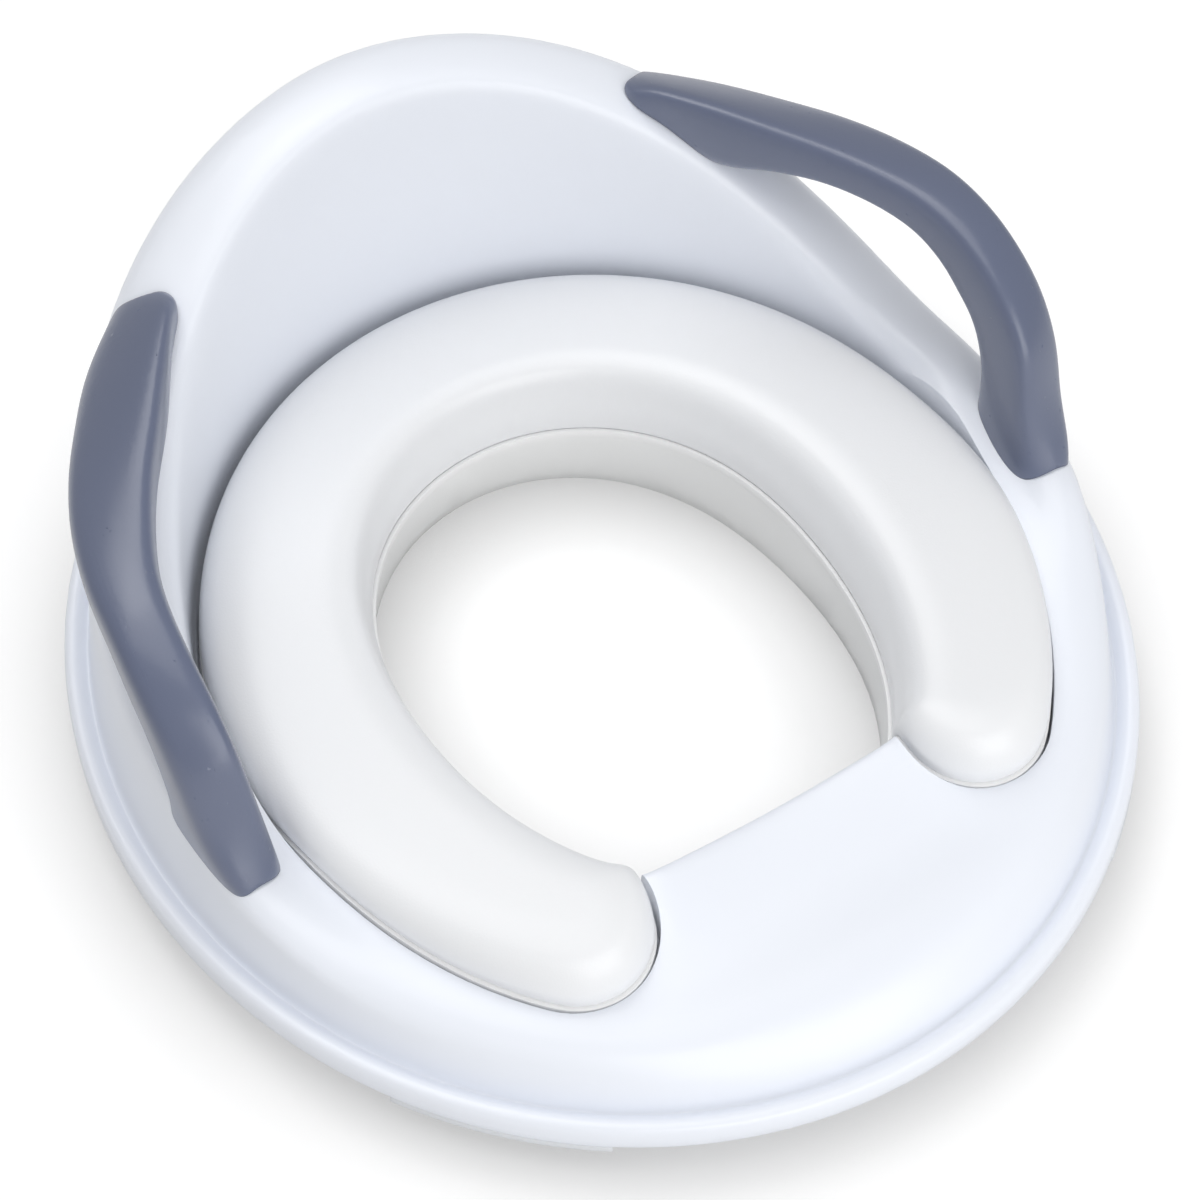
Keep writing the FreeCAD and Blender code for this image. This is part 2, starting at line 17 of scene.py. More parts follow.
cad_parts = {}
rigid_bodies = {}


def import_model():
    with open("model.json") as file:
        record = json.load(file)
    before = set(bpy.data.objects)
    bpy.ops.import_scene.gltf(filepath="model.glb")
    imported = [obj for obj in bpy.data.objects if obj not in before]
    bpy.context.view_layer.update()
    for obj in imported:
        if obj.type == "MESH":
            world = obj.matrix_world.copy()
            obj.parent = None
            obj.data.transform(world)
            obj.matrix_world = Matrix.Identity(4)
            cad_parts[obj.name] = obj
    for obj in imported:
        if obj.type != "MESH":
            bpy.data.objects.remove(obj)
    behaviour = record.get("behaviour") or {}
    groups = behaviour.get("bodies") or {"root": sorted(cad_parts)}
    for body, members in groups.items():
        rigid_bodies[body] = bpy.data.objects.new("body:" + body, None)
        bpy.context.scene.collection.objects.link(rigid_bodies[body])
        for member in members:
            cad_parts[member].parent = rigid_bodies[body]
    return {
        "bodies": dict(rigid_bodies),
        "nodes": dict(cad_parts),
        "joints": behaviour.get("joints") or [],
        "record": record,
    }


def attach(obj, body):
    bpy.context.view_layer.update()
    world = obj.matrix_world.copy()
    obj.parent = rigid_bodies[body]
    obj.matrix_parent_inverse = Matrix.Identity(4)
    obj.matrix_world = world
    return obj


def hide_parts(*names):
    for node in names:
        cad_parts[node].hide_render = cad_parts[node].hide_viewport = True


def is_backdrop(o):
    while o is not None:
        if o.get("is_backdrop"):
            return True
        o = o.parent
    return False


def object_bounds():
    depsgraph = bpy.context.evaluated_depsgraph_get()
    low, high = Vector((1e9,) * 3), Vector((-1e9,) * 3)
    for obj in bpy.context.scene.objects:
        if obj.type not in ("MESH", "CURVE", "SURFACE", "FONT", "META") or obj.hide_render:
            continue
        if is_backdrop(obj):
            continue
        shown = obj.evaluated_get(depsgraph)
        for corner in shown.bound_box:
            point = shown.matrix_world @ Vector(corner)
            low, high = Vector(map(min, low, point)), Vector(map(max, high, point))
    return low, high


LOG = logging.getLogger("potty_seat")
MM = 0.001
SEARCH_END = 80.0
SEARCH_STEPS = 40
JOIN_DISTANCE = 2e-5
SLIVER_LENGTH = 1e-6
CREASE_ANGLE = math.radians(50.0)


def ease(value: float, start: float, end: float) -> float:
    """Smooth step of a value between two limits."""
    t = min(max((value - start) / (end - start), 0.0), 1.0)
    return t * t * (3.0 - 2.0 * t)


def mix(a: float, b: float, t: float) -> float:
    """Linear blend of two numbers."""
    return a + (b - a) * t


class Slot(Enum):
    """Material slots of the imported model."""

    SHELL = "shell_plastic"
    CUSHION = "cushion_skin"
    TRAY = "tray_plastic"
    HANDLE = "handle_plastic"
    STRIP = "strip_rubber"
    SCREW = "screw_steel"


# Plan outlines
@dataclass(frozen=True)
class Egg:
    """Egg-shaped curve about (0, centre), in millimetres; angles run from the front."""

    centre: float
    radius: float
    stretch: float
    tail: float

    def point(self, phi: float, offset: float = 0.0) -> tuple[float, float, tuple[float, float]]:
        """Place on the curve moved along its normal.

        Args:
            phi: Angle about the centre, from the front, in radians.
            offset: Distance outwards from the curve.

        Returns:
            The x and y of the point and the outward normal.
        """
        r = self.radius + self.stretch * math.cos(2 * phi) + self.tail * math.cos(3 * phi)
        slope = -2 * self.stretch * math.sin(2 * phi) - 3 * self.tail * math.sin(3 * phi)
        along = (r * math.cos(phi) + slope * math.sin(phi), r * math.sin(phi) - slope * math.cos(phi))
        size = math.hypot(*along)
        normal = (along[1] / size, -along[0] / size)
        x = r * math.sin(phi) + offset * normal[0]
        return x, self.centre - r * math.cos(phi) + offset * normal[1], normal

    def angle_at(self, x: float, offset: float) -> float:
        """Angle at which the front part of the offset curve reaches a given x.

        Args:
            x: Distance from the middle plane.
            offset: Distance outwards from the curve.

        Returns:
            The angle about the centre, from the front, in radians.
        """
        low, high = 0.0, math.radians(SEARCH_END)
        for _ in range(SEARCH_STEPS):
            middle = (low + high) / 2
            if self.point(middle, offset)[0] < x:
                low = middle
            else:
                high = middle
        return low


@dataclass(frozen=True)
class CushionSizes:
    """Sizes of the cushion and of the pocket and tray that hold it, in millimetres."""

    pocket: Egg = Egg(-14.0, 136.8, 6.2, 0.2)
    hole: Egg = Egg(-18.8, 83.0, 10.8, 0.6)
    guard_half_width: float = 45.5
    end_gap: float = 1.8
    lean: float = 3.4
    end_radius: float = 24.0
    corner_radius: float = 8.0
    clearance: float = 0.8
    tray_wall: float = 1.3
    seat_gap: float = 0.3
    seat: float = 31.5
    lip: float = 33.0
    top: float = 61.0
    front_deck: float = 41.0
    side_deck: float = 50.0
    tray_rise: float = 0.8
    tray_rear: float = 39.0
    foot_middle: float = 0.6
    edge_below: float = 0.3
    edge_step: float = 0.8
    edge_above: float = 1.0
    side_lift: float = 0.8


@dataclass
class HorseshoePlan:
    """Outline of the cushion at a distance inside its pocket."""

    sizes: CushionSizes = field(default_factory=CushionSizes)
    outer_points: int = 34
    tip_points: int = 8
    end_points: int = 3
    corner_points: int = 5
    inner_points: int = 24
    least_tip: float = 4.0
    least_corner: float = 2.5

    def outline(self, inset: float) -> list[tuple[float, float, float]]:
        """Points all around, as x, y and the share of the outer side.

        Args:
            inset: Distance inside the pocket's wall in millimetres.

        Returns:
            Points from the rear over the right-hand end, the hole and the left-hand end.
        """
        s = self.sizes
        inwards = inset - s.clearance
        end_x = s.guard_half_width + s.end_gap + inwards
        radius = max(s.end_radius - inwards, self.least_tip)
        corner = max(s.corner_radius - inwards, self.least_corner)
        start = s.pocket.angle_at(end_x + radius, -inset - radius)
        tip = s.pocket.point(start, -inset - radius)
        turn = s.hole.angle_at(end_x + corner, inwards + corner)
        bend = s.hole.point(turn, inwards + corner)
        half = []
        for i in range(self.outer_points):
            angle = mix(math.pi, start, (i + 0.5) / self.outer_points)
            half.append((*s.pocket.point(angle, -inset)[:2], 1.0))
        tip_angle = math.atan2(tip[2][1], tip[2][0])
        for i in range(self.tip_points):
            angle = mix(tip_angle, -math.pi, (i + 0.5) / self.tip_points)
            half.append((tip[0] + radius * math.cos(angle), tip[1] + radius * math.sin(angle), 1.0))
        for i in range(self.end_points):
            half.append((end_x, mix(tip[1], bend[1], (i + 0.5) / self.end_points), 1.0))
        bend_angle = math.atan2(-bend[2][1], -bend[2][0])
        for i in range(self.corner_points):
            share = (i + 0.5) / self.corner_points
            angle = mix(math.pi, bend_angle, share)
            half.append((bend[0] + corner * math.cos(angle), bend[1] + corner * math.sin(angle), 1.0 - share))
        for i in range(self.inner_points):
            angle = mix(turn, math.pi, (i + 0.5) / self.inner_points)
            half.append((*s.hole.point(angle, inwards)[:2], 0.0))
        return half + [(-x, y, share) for x, y, share in reversed(half)]


# Meshes
class SmoothSurface:
    """Cubic spline surface over rows of control points, closed in one direction."""

    @staticmethod
    def open_weights(count: int, per_span: int) -> np.ndarray:
        """Basis of a clamped cubic with even knots, sampled evenly.

        Args:
            count: Number of control points.
            per_span: Samples in each span between two knots.

        Returns:
            Weights as samples x control points.
        """
        spans = count - 3
        knots = np.concatenate([[0.0] * 3, np.arange(spans + 1.0), [float(spans)] * 3])
        at = np.linspace(0.0, spans, spans * per_span + 1)
        just_inside = spans - 1e-9
        at[-1] = just_inside
        basis = np.array([(knots[i] <= at) & (at < knots[i + 1]) for i in range(len(knots) - 1)], float)
        for degree in (1, 2, 3):
            rows = []
            for i in range(len(knots) - 1 - degree):
                left, right = knots[i + degree] - knots[i], knots[i + degree + 1] - knots[i + 1]
                row = np.zeros_like(at)
                if left > 0:
                    row += (at - knots[i]) / left * basis[i]
                if right > 0:
                    row += (knots[i + degree + 1] - at) / right * basis[i + 1]
                rows.append(row)
            basis = np.array(rows)
        return basis.T

    @staticmethod
    def closed_weights(count: int, per_span: int) -> np.ndarray:
        """Basis of a periodic cubic with even knots.

        Args:
            count: Number of control points.
            per_span: Samples in each span between two knots.

        Returns:
            Weights as samples x control points.
        """
        weights = np.zeros((count * per_span, count))
        for i in range(count):
            for k in range(per_span):
                t = k / per_span
                share = ((1 - t) ** 3, 3 * t**3 - 6 * t**2 + 4, -3 * t**3 + 3 * t**2 + 3 * t + 1, t**3)
                for j, value in enumerate(share):
                    weights[i * per_span + k, (i + j) % count] += value / 6.0
        return weights

    @classmethod
    def grid(cls, rows: np.ndarray, across: int, around: int) -> np.ndarray:
        """Points of the surface.

        Args:
            rows: Control points as rows x columns x 3, closed along the columns.
            across: Samples in each span from row to row.
            around: Samples in each span from column to column.

        Returns:
            The points as rows x columns x 3.
        """
        a = cls.open_weights(rows.shape[0], across)
        b = cls.closed_weights(rows.shape[1], around)
        return np.einsum("ri,cj,ijk->rck", a, b, rows)


class MeshBuilder:
    """Turns grids and CAD nodes into mesh objects of the row frame."""

    @staticmethod
    def tube(name: str, grid: np.ndarray) -> bpy.types.Object:
        """Closed skin over a grid of rings, with both ends filled.

        Args:
            name: Name of the object.
            grid: Points as rows x columns x 3, in metres.

        Returns:
            The linked object with smooth faces that look outwards.
        """
        mesh = bmesh.new()
        rings = [[mesh.verts.new(p) for p in ring] for ring in grid]
        count = len(rings[0])
        for low, high in zip(rings, rings[1:]):
            for i in range(count):
                k = (i + 1) % count
                mesh.faces.new((low[i], low[k], high[k], high[i]))
        for ring in (rings[0], rings[-1]):
            edges = [mesh.edges.get((ring[i], ring[(i + 1) % count])) for i in range(count)]
            bmesh.ops.triangle_fill(mesh, use_beauty=True, edges=edges)
        bmesh.ops.recalc_face_normals(mesh, faces=mesh.faces)
        return MeshBuilder.finish(name, mesh)

    @staticmethod
    def finish(name: str, mesh: bmesh.types.BMesh) -> bpy.types.Object:
        """Links a bmesh as an object with smooth faces.

        Args:
            name: Name of the object and of its mesh.
            mesh: The bmesh, freed here.

        Returns:
            The linked object.
        """
        data = bpy.data.meshes.new(name)
        mesh.to_mesh(data)
        mesh.free()
        data.shade_smooth()
        obj = bpy.data.objects.new(name, data)
        bpy.context.scene.collection.objects.link(obj)
        return obj

    @staticmethod
    def rounded(name: str, node: bpy.types.Object, width: float, sharp: float) -> bpy.types.Object:
        """Copy of a CAD node with its vertices joined and its sharp edges rounded.

        Args:
            name: Name of the new object.
            node: The CAD node to copy.
            width: Width of the rounding in metres.
            sharp: Angle in degrees above which an edge is rounded.

        Returns:
            The linked object; the node itself isn't changed.
        """
        mesh = bmesh.new()
        mesh.from_mesh(node.data)
        bmesh.ops.remove_doubles(mesh, verts=mesh.verts, dist=JOIN_DISTANCE)
        bmesh.ops.dissolve_degenerate(mesh, edges=mesh.edges, dist=SLIVER_LENGTH)
        bmesh.ops.recalc_face_normals(mesh, faces=mesh.faces)
        obj = MeshBuilder.finish(name, mesh)
        if width > 0:
            bevel = obj.modifiers.new("edges", "BEVEL")
            bevel.limit_method = "ANGLE"
            bevel.angle_limit = math.radians(sharp)
            bevel.width = width
            bevel.segments = 2
            bevel.use_clamp_overlap = True
            bevel.miter_outer = "MITER_ARC"
            baked = bpy.data.meshes.new_from_object(obj.evaluated_get(bpy.context.evaluated_depsgraph_get()))
            obj.modifiers.clear()
            obj.data = baked
        obj.data.set_sharp_from_angle(angle=CREASE_ANGLE)
        return obj


@dataclass
class Cushion:
    """The moulded foam cushion with its crowned top and rounded sides."""

    plan: HorseshoePlan = field(default_factory=HorseshoePlan)
    rounding: tuple[int, ...] = (0, 0, 0, 0, 1, 2, 5, 9, 14, 20, 26)
    deck_climb: tuple[float, float] = (-130.0, -35.0)
    tray_fall: tuple[float, float] = (-45.0, 10.0)
    bulge: float = 1.4
    inner_fall: float = 14.5
    outer_fall: tuple[float, float] = (13.0, 19.0)
    largest_fall: float = 0.62
    rear_fall: float = 0.78
    inner_reach: float = 14.5
    outer_reach: tuple[float, float] = (12.0, 13.5)
    side: tuple[tuple[float, float], ...] = ((0.25, 0.6), (0.7, 1.0))
    crown: tuple[tuple[float, float], ...] = ((0.06, 0.55), (0.28, 0.2), (0.65, 0.04), (1.1, 0.0), (1.4, 0.0))

    def tray_height(self, y: float, share: float) -> float:
        """Height of the tray's edge beside a point of the outline.

        Args:
            y: Place of the point along the seat.
            share: Share of the outer side, 0 at the hole and 1 at the pocket's wall.

        Returns:
            The height in millimetres.
        """
        s = self.plan.sizes
        deck = mix(s.front_deck, s.side_deck, ease(y, *self.deck_climb)) + s.tray_rise
        return mix(s.lip, mix(deck, s.tray_rear, ease(y, *self.tray_fall)), share)

    def profile(self, y: float, share: float) -> list[tuple[float, float]]:
        """Control points from the bottom edge to the crown.

        Args:
            y: Place of the section along the seat.
            share: Share of the outer side, 0 at the hole and 1 at the pocket's wall.

        Returns:
            Pairs of the inset from the pocket's wall and the height, in millimetres.
        """
        s = self.plan.sizes
        rear = ease(y, *self.tray_fall)
        edge = self.tray_height(y, share)
        inside = s.clearance + s.tray_wall + s.seat_gap
        out = inside - self.bulge
        rise = s.top - edge
        fall = min(self.largest_fall * rise, mix(self.inner_fall, mix(*self.outer_fall, rear), share))
        fall = max(fall, self.rear_fall * rise * rear * share)
        reach = mix(self.inner_reach, mix(*self.outer_reach, rear), share)
        lean = s.lean * (1.0 - share)
        low_side, high_side = self.side
        foot = [
            (inside, s.seat),
            (inside, mix(s.seat, edge, s.foot_middle)),
            (inside, edge - s.edge_below),
            (inside - s.edge_step, edge + s.edge_above),
            (out + low_side[0] * lean, mix(edge, s.top - fall, low_side[1]) + s.side_lift),
            (out + high_side[0] * lean, mix(edge, s.top - fall, high_side[1])),
        ]
        return foot + [(out + lean + across * reach, s.top - down * fall) for across, down in self.crown]

    def build(self) -> bpy.types.Object:
        """Makes the cushion's mesh.

        Returns:
            The linked object.
        """
        base = self.plan.outline(self.plan.sizes.clearance)
        profiles = [self.profile(y, share) for _, y, share in base]
        outlines: dict[float, list[tuple[float, float, float]]] = {}
        rows = np.zeros((len(profiles[0]), len(base), 3))
        for column, points in enumerate(profiles):
            for level, (inset, height) in enumerate(points):
                if inset not in outlines:
                    outlines[inset] = self.plan.outline(inset)
                x, y, _ = outlines[inset][column]
                rows[level, column] = (x, y, height)
        for level, passes in enumerate(self.rounding):
            for _ in range(passes):
                ring = rows[level]
                rows[level] = (np.roll(ring, 1, axis=0) + 2 * ring + np.roll(ring, -1, axis=0)) / 4
        return MeshBuilder.tube("cushion_foam", SmoothSurface.grid(rows, across=5, around=3) * MM)


# Corners of the right-hand handle, rear to foot: inner top, outer top, inner low, outer low
HANDLE_STATIONS = (
    ((83.0, 108.0, 127.5), (90.5, 130.0, 115.0), (85.5, 108.0, 108.5), (93.0, 130.0, 96.0)),
    ((87.5, 101.5, 130.0), (98.0, 124.0, 116.5), (91.5, 101.5, 106.0), (99.5, 123.5, 94.0)),
    ((97.6, 86.2, 131.0), (115.0, 107.8, 116.0), (101.0, 85.0, 103.0), (116.5, 106.5, 93.0)),
    ((109.0, 69.5, 130.0), (128.3, 88.5, 117.5), (108.6, 71.0, 109.0), (127.0, 89.0, 99.0)),
    ((118.8, 55.3, 128.6), (138.0, 71.5, 119.5), (118.2, 55.6, 112.4), (137.2, 71.8, 103.8)),
    ((127.0, 39.8, 127.4), (146.0, 52.5, 121.5), (126.8, 40.0, 112.1), (145.6, 52.8, 106.3)),
    ((133.2, 24.6, 125.7), (151.4, 32.0, 123.0), (132.8, 25.5, 109.6), (150.8, 32.8, 107.0)),
    ((136.2, 9.2, 123.0), (153.6, 13.5, 121.6), (135.4, 13.5, 104.8), (152.8, 17.5, 103.2)),
    ((137.2, -4.9, 118.6), (154.8, -2.0, 115.8), (136.2, 4.0, 98.5), (154.0, 6.0, 96.5)),
    ((137.4, -17.6, 111.8), (155.2, -15.5, 106.6), (136.6, -3.0, 93.0), (154.4, -1.5, 90.0)),
    ((137.2, -28.2, 101.6), (155.2, -25.5, 92.5), (136.7, -8.0, 85.0), (154.5, -6.0, 80.0)),
    ((136.2, -34.0, 84.0), (154.8, -32.5, 75.0), (136.7, -11.2, 75.0), (154.4, -8.0, 69.0)),
    ((135.2, -38.8, 64.0), (153.4, -41.5, 62.0), (136.8, -12.2, 61.0), (154.2, -5.0, 57.0)),
    ((134.6, -40.2, 54.0), (151.8, -46.0, 55.0), (136.8, -12.0, 47.0), (154.0, -2.0, 46.0)),
    ((134.6, -40.6, 40.0), (151.8, -47.5, 40.0), (136.8, -12.0, 40.0), (154.0, -1.0, 40.0)),
)


@dataclass(frozen=True)
class HandleForm:
    """Surface of a handle, with faces that may be fuller than the plain four-sided section."""

    side: float = 1.0
    share: float = 0.34
    steps: int = 3
    ends: tuple[tuple[float, float], ...] = ((0.30, 5.4), (0.74, 5.2), (0.95, 2.8))
    fullness: tuple[float, ...] = (1.5, 1.1, 0.8, 1.1)
    foot_fullness: float = 1.7
    foot_range: tuple[float, float] = (0.78, 0.92)
    corner_push: float = 0.2
    sink: float = 0.0012
    sink_range: tuple[float, float] = (0.054, 0.064)
    refinements: int = 5

    def path(self) -> np.ndarray:
        """Corners of the sections along a smooth curve through the stations.

        Returns:
            The corners as sections x 4 x 3.
        """
        places = np.array(HANDLE_STATIONS)
        places = places[:, (0, 1, 3, 2)]
        last = len(places) - 1
        result = []
        for i in range(last):
            a, b, c, d = places[max(i - 1, 0)], places[i], places[i + 1], places[min(i + 2, last)]
            for k in range(self.steps):
                t = k / self.steps
                bend = (2 * a - 5 * b + 4 * c - d) * t * t + (3 * b - a - 3 * c + d) * t**3
                result.append(0.5 * (2 * b + (c - a) * t + bend))
        return np.array(result + [places[last]])

    def grid(self, amount: float) -> np.ndarray:
        """Points of the handle's surface.

        Args:
            amount: Share of the extra fullness, from 0 to 1.

        Returns:
            The points as rows x columns x 3, in metres.
        """
        rows = []
        path = self.path()
        for station, corners in enumerate(path):
            centre = corners.mean(axis=0)
            foot = 1.0 + self.foot_fullness * ease(station / (len(path) - 1), *self.foot_range)
            fullness = (self.fullness[0] * foot, *self.fullness[1:])
            ring = []
            pushes = []
            for i, corner in enumerate(corners):
                along = corners[(i + 1) % 4] - corner
                out = corner + along / 2 - centre
                out -= along * np.dot(out, along) / np.dot(along, along)
                pushes.append(out / np.linalg.norm(out) * fullness[i] * amount)
            for i, corner in enumerate(corners):
                before, after = corners[i - 1], corners[(i + 1) % 4]
                ring.append(corner + (before - corner) * self.share + pushes[i - 1])
                ring.append(corner + (pushes[i - 1] + pushes[i]) * self.corner_push)
                ring.append(corner + (after - corner) * self.share + pushes[i])
            rows.append(ring)
        rows = np.array(rows)
        middle = rows[0].mean(axis=0)
        backwards = rows[0][0] - rows[1][0]
        backwards /= np.linalg.norm(backwards)
        caps = [middle + (rows[0] - middle) * shrink + backwards * reach for shrink, reach in self.ends]
        points = SmoothSurface.grid(np.concatenate([np.array(caps), rows]), across=10, around=12)
        return points * np.array((self.side, 1.0, 1.0)) * MM

    def soften(self, obj: bpy.types.Object, near: float = 0.0003, edge: float = 0.0014) -> None:
        """Moves the outer skin of a CAD copy onto the fuller surface.

        Args:
            obj: Copy of the handle's CAD node.
            near: Distance from the plain surface within which a vertex belongs to the skin.
            edge: Longest edge left after the mesh is refined.
        """
        plain, full = self.grid(0.0), self.grid(1.0)
        across, around = plain.shape[:2]
        faces = []
        for i in range(across - 1):
            for j in range(around):
                k = (j + 1) % around
                faces.append((i * around + j, i * around + k, (i + 1) * around + k, (i + 1) * around + j))
        points = plain.reshape(-1, 3)
        tree = BVHTree.FromPolygons([tuple(p) for p in points], faces)
        moves = (full - plain).reshape(-1, 3)
        mesh = bmesh.new()
        mesh.from_mesh(obj.data)
        for _ in range(self.refinements):
            long_edges = [e for e in mesh.edges if e.calc_length() > edge]
            if not long_edges:
                break
            bmesh.ops.subdivide_edges(mesh, edges=long_edges, cuts=1)
            bmesh.ops.triangulate(mesh, faces=mesh.faces)
        for vert in mesh.verts:
            place, _, face, distance = tree.find_nearest(vert.co)
            if distance < near:
                corners = list(faces[face])
                pull = 1.0 / (np.linalg.norm(points[corners] - np.array(place), axis=1) + SLIVER_LENGTH)
                vert.co = place + Vector(pull @ moves[corners] / pull.sum())
                vert.co.z -= self.sink * (1.0 - ease(place.z, *self.sink_range))
        mesh.to_mesh(obj.data)
        mesh.free()


# Materials
class Value:
    """A node socket with arithmetic."""

    def __init__(self, tree: "Tree", socket: bpy.types.NodeSocket) -> None:
        """Keeps the socket and the tree that it belongs to."""
        self.tree = tree
        self.socket = socket

    def _math(self, operation: str, first: "Value | float", second: "Value | float") -> "Value":
        """Adds a Math node on two values or numbers."""
        return self.tree.node("ShaderNodeMath", operation=operation, inputs={0: first, 1: second})

    def __add__(self, other: "Value | float") -> "Value":
        """Sum with a value or number."""
        return self._math("ADD", self, other)

    def __sub__(self, other: "Value | float") -> "Value":
        """Difference from a value or number."""
        return self._math("SUBTRACT", self, other)

    def __rsub__(self, other: "Value | float") -> "Value":
        """Difference of a number and this value."""
        return self._math("SUBTRACT", other, self)

    def __mul__(self, other: "Value | float") -> "Value":
        """Product with a value or number."""
        return self._math("MULTIPLY", self, other)

    __radd__ = __add__
    __rmul__ = __mul__


class Tree:
    """Small helper around a material's node tree."""

    def __init__(self, tree: bpy.types.NodeTree) -> None:
        """Keeps the node tree."""
        self.tree = tree

    def make(self, kind: str, inputs: dict | None = None, **settings: object) -> bpy.types.Node:
        """Adds a node, sets its properties and links or sets its inputs.

        Args:
            kind: Type of the node.
            inputs: Values or numbers for its inputs, by index or name.
            settings: Properties of the node, set before its inputs.

        Returns:
            The new node.
        """
        node = self.tree.nodes.new(kind)
        for key, value in settings.items():
            setattr(node, key, value)
        for key, value in (inputs or {}).items():
            if isinstance(value, Value):
                self.tree.links.new(value.socket, node.inputs[key])
            else:
                node.inputs[key].default_value = value
        return node

    def node(self, kind: str, output: int | str = 0, inputs: dict | None = None, **settings: object) -> Value:
        """Adds a node and wraps one of its outputs."""
        return Value(self, self.make(kind, inputs, **settings).outputs[output])

    def blend(self, factor: Value, first: tuple, second: tuple) -> Value:
        """Colour between two colours.

        Args:
            factor: Share of the second colour, from 0 to 1.
            first: Colour at 0, with alpha.
            second: Colour at 1, with alpha.

        Returns:
            The colour socket.
        """
        ramp = self.make("ShaderNodeValToRGB", {0: factor})
        ramp.color_ramp.elements[0].color = first
        ramp.color_ramp.elements[1].color = second
        return Value(self, ramp.outputs[0])


# How steeply the collar's painted bounce light (a lighter, neutral tone) fades out, per square metre of
# radius squared and per metre of height
RADIUS_EDGE = 500.0
HEIGHT_EDGE = 200.0


@dataclass(frozen=True)
class Finish:
    """Look of one material."""

    colour: tuple[float, float, float]
    shade: float = 0.97
    patch_scale: float = 14.0
    roughness: float = 0.35
    roughness_spread: float = 0.06
    grain_scale: float = 900.0
    grain: float = 0.0
    coat: float = 0.0
    coat_roughness: float = 0.2
    grain_depth: float = 0.0004
    metallic: float = 0.0
    # inside: painted bounce light, a lighter and more neutral colour on the collar round the hole, standing
    # in for light thrown back from the floor and cushion
    inside: tuple[float, float, float] | None = None
    bounce_light_radius: float = 0.1
    bounce_light_top: float = 0.033

    def build(self, name: str) -> bpy.types.Material:
        """Makes the procedural material.

        Args:
            name: Name of the material.

        Returns:
            A material whose colour, roughness and relief vary slightly over the surface.
        """
        material = bpy.data.materials.new(name)
        material.use_nodes = True
        tree = Tree(material.node_tree)
        shader = material.node_tree.nodes["Principled BSDF"]
        place = tree.node("ShaderNodeTexCoord", "Object")
        patch_inputs = {"Vector": place, "Scale": self.patch_scale, "Detail": 3.0}
        patches = tree.node("ShaderNodeTexNoise", "Fac", patch_inputs)
        grain_inputs = {"Vector": place, "Scale": self.grain_scale, "Detail": 2.0}
        grain = tree.node("ShaderNodeTexNoise", "Fac", grain_inputs)
        dark = tuple(c * self.shade for c in self.colour) + (1.0,)
        base = tree.blend(patches, dark, (*self.colour, 1.0))
        # Painted bounce light: within a radius of the middle and below the collar's top, the colour turns to
        # the lighter, neutral inside colour
        if self.inside:
            spot = tree.make("ShaderNodeSeparateXYZ", {0: place}).outputs
            across, along, height = (Value(tree, spot[i]) for i in range(3))
            outer = (across * across + along * along - self.bounce_light_radius**2) * RADIUS_EDGE
            above = (height - self.bounce_light_top) * HEIGHT_EDGE
            share = tree.node("ShaderNodeMath", 0, {0: outer, 1: above}, operation="MAXIMUM", use_clamp=True)
            mixer = tree.make("ShaderNodeMix", {0: share}, data_type="RGBA")
            colours = [socket for socket in mixer.inputs if socket.type == "RGBA"]
            colours[0].default_value = (*self.inside, 1.0)
            material.node_tree.links.new(base.socket, colours[1])
            base = Value(tree, next(socket for socket in mixer.outputs if socket.type == "RGBA"))
        rough = patches * self.roughness_spread + (self.roughness - self.roughness_spread / 2)
        links = material.node_tree.links
        links.new(base.socket, shader.inputs["Base Color"])
        links.new(rough.socket, shader.inputs["Roughness"])
        if self.grain > 0:
            inputs = {"Height": grain, "Strength": self.grain, "Distance": self.grain_depth}
            bump = tree.node("ShaderNodeBump", "Normal", inputs)
            links.new(bump.socket, shader.inputs["Normal"])
        shader.inputs["Metallic"].default_value = self.metallic
        shader.inputs["Coat Weight"].default_value = self.coat
        shader.inputs["Coat Roughness"].default_value = self.coat_roughness
        material.diffuse_color = (*self.colour, 1.0)
        return material


FINISHES: dict[Slot, Finish] = {
    # The shell's inside colour is painted bounce light: the collar is drawn lighter and neutral where the
    # floor and cushion throw light back
    Slot.SHELL: Finish(
        colour=(0.855, 0.885, 0.95), shade=0.985, roughness=0.34,
        coat=0.15, grain=0.02, inside=(0.91, 0.915, 0.91),
    ),
    Slot.CUSHION: Finish(
        colour=(0.86, 0.87, 0.888), shade=0.98, roughness=0.33,
        grain=0.12, grain_scale=1500.0, coat=0.12, coat_roughness=0.3,
    ),
    Slot.TRAY: Finish(colour=(0.92, 0.92, 0.92), shade=0.98, roughness=0.4),
    Slot.HANDLE: Finish(
        colour=(0.126, 0.149, 0.23), shade=0.93, roughness=0.36, roughness_spread=0.05,
        grain=0.05, grain_scale=1200.0, coat=0.5, coat_roughness=0.22,
    ),
    Slot.STRIP: Finish(colour=(0.72, 0.74, 0.77), shade=0.96, roughness=0.7),
    Slot.SCREW: Finish(colour=(0.6, 0.6, 0.62), shade=0.9, roughness=0.35, metallic=1.0),
}


# Studio
@dataclass(frozen=True)
class Lamp:
    """A soft square lamp aimed at the seat."""

    name: str
    place: tuple[float, float, float]
    size: float
    power: float

    def build(self, target: Vector) -> bpy.types.Object:
        """Links the lamp to the scene.

        Args:
            target: Point that the lamp is aimed at.

        Returns:
            The lamp's object.
        """
        data = bpy.data.lights.new(self.name, "AREA")
        data.size = self.size
        data.energy = self.power
        obj = bpy.data.objects.new(self.name, data)
        obj.location = self.place
        obj.rotation_euler = (target - Vector(self.place)).to_track_quat("-Z", "Y").to_euler()
        bpy.context.scene.collection.objects.link(obj)
        return obj


